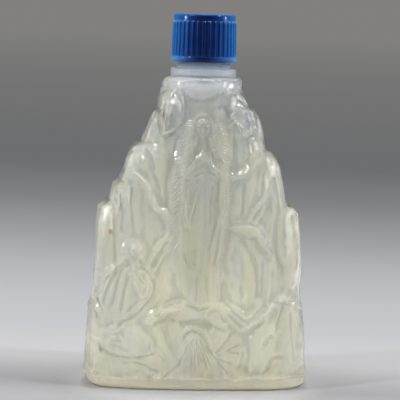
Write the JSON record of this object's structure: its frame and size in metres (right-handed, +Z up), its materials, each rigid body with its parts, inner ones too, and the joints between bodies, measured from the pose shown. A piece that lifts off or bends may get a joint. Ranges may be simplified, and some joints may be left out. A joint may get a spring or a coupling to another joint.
{
  "type": "holy water bottle",
  "caption": "Small blow-moulded bottle shaped as a rocky grotto, with a standing robed figure and a kneeling figure in relief, closed by a ribbed blue screw cap.",
  "frame": {"origin": "middle of the surface that the bottle stands on, under the axis of the neck", "axes": "+Z up along the neck, -Y out of the front with the two figures, +X to the right as seen from the front"},
  "size_m": [0.075, 0.0319, 0.125],
  "materials": {
    "milky_plastic": "satin, milky and slightly see-through",
    "blue_plastic": "gloss",
    "foam": "matt foam"
  },
  "bodies": {
    "bottle_body": {"bottle": "milky_plastic"},
    "liner_body": {"liner": "foam"},
    "cap_body": {"cap": "blue_plastic"}
  },
  "joints": [
    {"name": "cap_lift", "type": "slide", "parent": "bottle_body", "child": "liner_body", "axis": [0, 0, 1], "range_m": [0, 0.0135]},
    {"name": "cap_turn", "type": "hinge", "parent": "liner_body", "child": "cap_body", "pos_m": [0, 0, 0.117], "axis": [0, 0, 1], "range_deg": [0, 1620]}
  ],
  "couplings": [
    {"joint": "cap_turn", "follows": "cap_lift", "rad_per_m": 2094.4}
  ]
}
